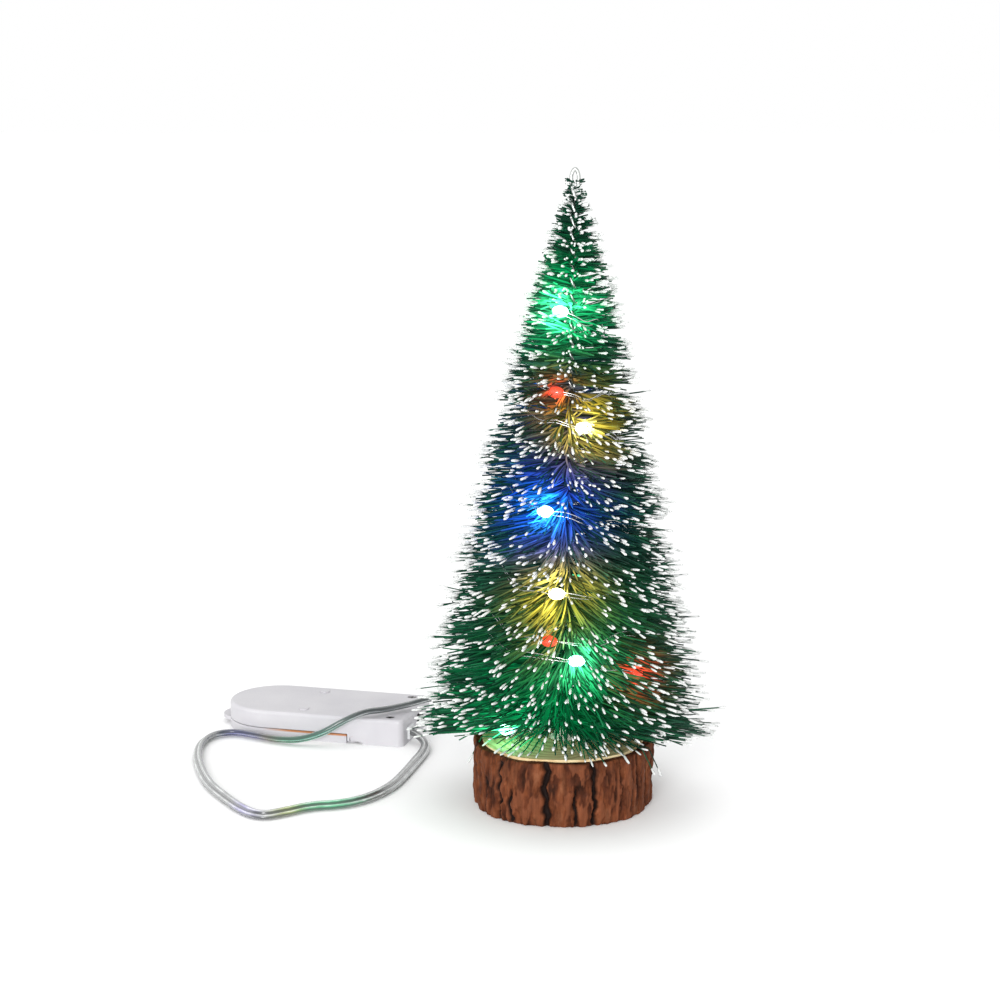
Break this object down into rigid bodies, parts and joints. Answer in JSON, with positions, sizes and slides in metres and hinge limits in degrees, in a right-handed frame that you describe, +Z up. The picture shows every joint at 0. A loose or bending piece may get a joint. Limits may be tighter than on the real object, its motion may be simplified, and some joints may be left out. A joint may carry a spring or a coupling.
{
  "type": "artificial tabletop tree",
  "caption": "Miniature bottle-brush tree in a bark-edged log slice, wound with micro lamps on a fine wire, with a flat twin lead to a coin-cell battery box.",
  "frame": {"origin": "middle of the log slice's underside, on the surface that the tree stands on", "axes": "+Z up along the tree, -Y towards the viewer, the battery box to the left at -X"},
  "size_m": [0.1612, 0.1411, 0.1909],
  "materials": {
    "wood": "matte",
    "bark": "matte",
    "glue": "satin",
    "steel": "satin",
    "bristles": "satin",
    "string": "gloss",
    "clear_lead": "gloss",
    "sleeve": "satin",
    "box_white": "satin",
    "black_plastic": "satin",
    "nickel": "satin",
    "circuit_board": "satin",
    "resistor": "satin",
    "chip": "matte",
    "cell_steel": "satin",
    "lamp_red": "gloss",
    "lamp_green": "gloss",
    "lamp_yellow": "gloss",
    "lamp_blue": "gloss"
  },
  "bodies": {
    "root": {"wood_disc": "wood", "bark_ring": "bark", "stem_wire": "steel", "glue_bead": "glue", "bristle_brush": "bristles", "string_wire": "string", "lamp_chips": "chip", "lead": "clear_lead", "lead_splice": "sleeve", "box_housing": "box_white", "end_plate": "box_white", "box_screws": "nickel", "circuit_board": "circuit_board", "series_resistor": "resistor", "switch_body": "nickel", "cord_clamp": "box_white", "lead_tails": "string", "coin_cell_outer": "cell_steel", "coin_cell_inner": "cell_steel", "top_contact_outer": "nickel", "top_contact_inner": "nickel", "lamps_red": "lamp_red", "lamps_green": "lamp_green", "lamps_yellow": "lamp_yellow", "lamps_blue": "lamp_blue"},
    "cover": {"battery_cover": "box_white", "series_link": "nickel"},
    "knob": {"switch_knob": "black_plastic"}
  },
  "joints": [
    {"name": "cover_hinge", "type": "hinge", "parent": "root", "child": "cover", "pos_m": [-0.06281, 0.07365, 0.0016], "axis": [0.2605, 0.9655, 0], "range_deg": [-80, 0]},
    {"name": "switch_slide", "type": "slide", "parent": "root", "child": "knob", "axis": [0.2605, 0.9655, 0], "range_m": [0, 0.0025]}
  ]
}
